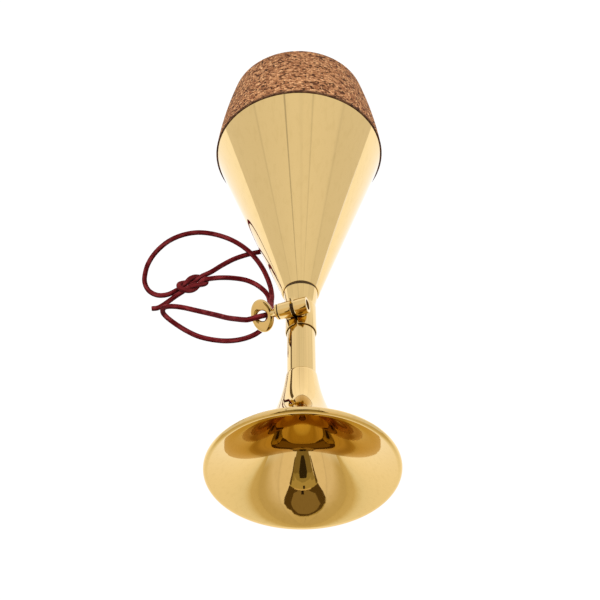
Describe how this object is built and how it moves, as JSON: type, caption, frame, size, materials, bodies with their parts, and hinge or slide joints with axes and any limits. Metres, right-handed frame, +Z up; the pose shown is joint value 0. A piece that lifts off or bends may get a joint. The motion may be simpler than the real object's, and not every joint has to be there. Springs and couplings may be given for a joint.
{
  "type": "french horn stopping mute",
  "caption": "Tunable brass stopping mute: a small bell on a sliding tube, a screw clamp with a cord loop, and a cone that ends in a cork sleeve.",
  "frame": {"origin": "on the surface that the mute lies on, under the middle of its length and under its axis", "axes": "+Z up, +Y along the mute from its bell to its cork, +X to the right as seen from the bell"},
  "size_m": [0.1017, 0.2029, 0.0703],
  "materials": {
    "brass": "polished",
    "cork": "matte",
    "cord": "satin"
  },
  "bodies": {
    "body": {"front_cone": "brass", "rear_shell": "brass", "end_port": "brass", "cork_sleeve": "cork", "clamp_sleeve": "brass", "clamp_lug_left": "brass", "clamp_lug_right": "brass", "cord_back": "cord", "cord_front": "cord", "cord_knot": "cord", "cord_tail_left": "cord", "cord_tail_right": "cord"},
    "bell": {"tuning_tube": "brass", "bell_flare": "brass", "rim_wire": "brass"},
    "screw": {"thumb_screw": "brass"}
  },
  "joints": [
    {"name": "tuning_slide", "type": "slide", "parent": "body", "child": "bell", "axis": [0, 1, 0], "range_m": [-0.01, 0.02]},
    {"name": "thumb_screw_turn", "type": "hinge", "parent": "body", "child": "screw", "pos_m": [-0.00284, -0.02965, 0.04316], "axis": [-0.9426, 0, -0.3338], "range_deg": [0, 180], "deforming": ["cord_back", "cord_front"]}
  ]
}
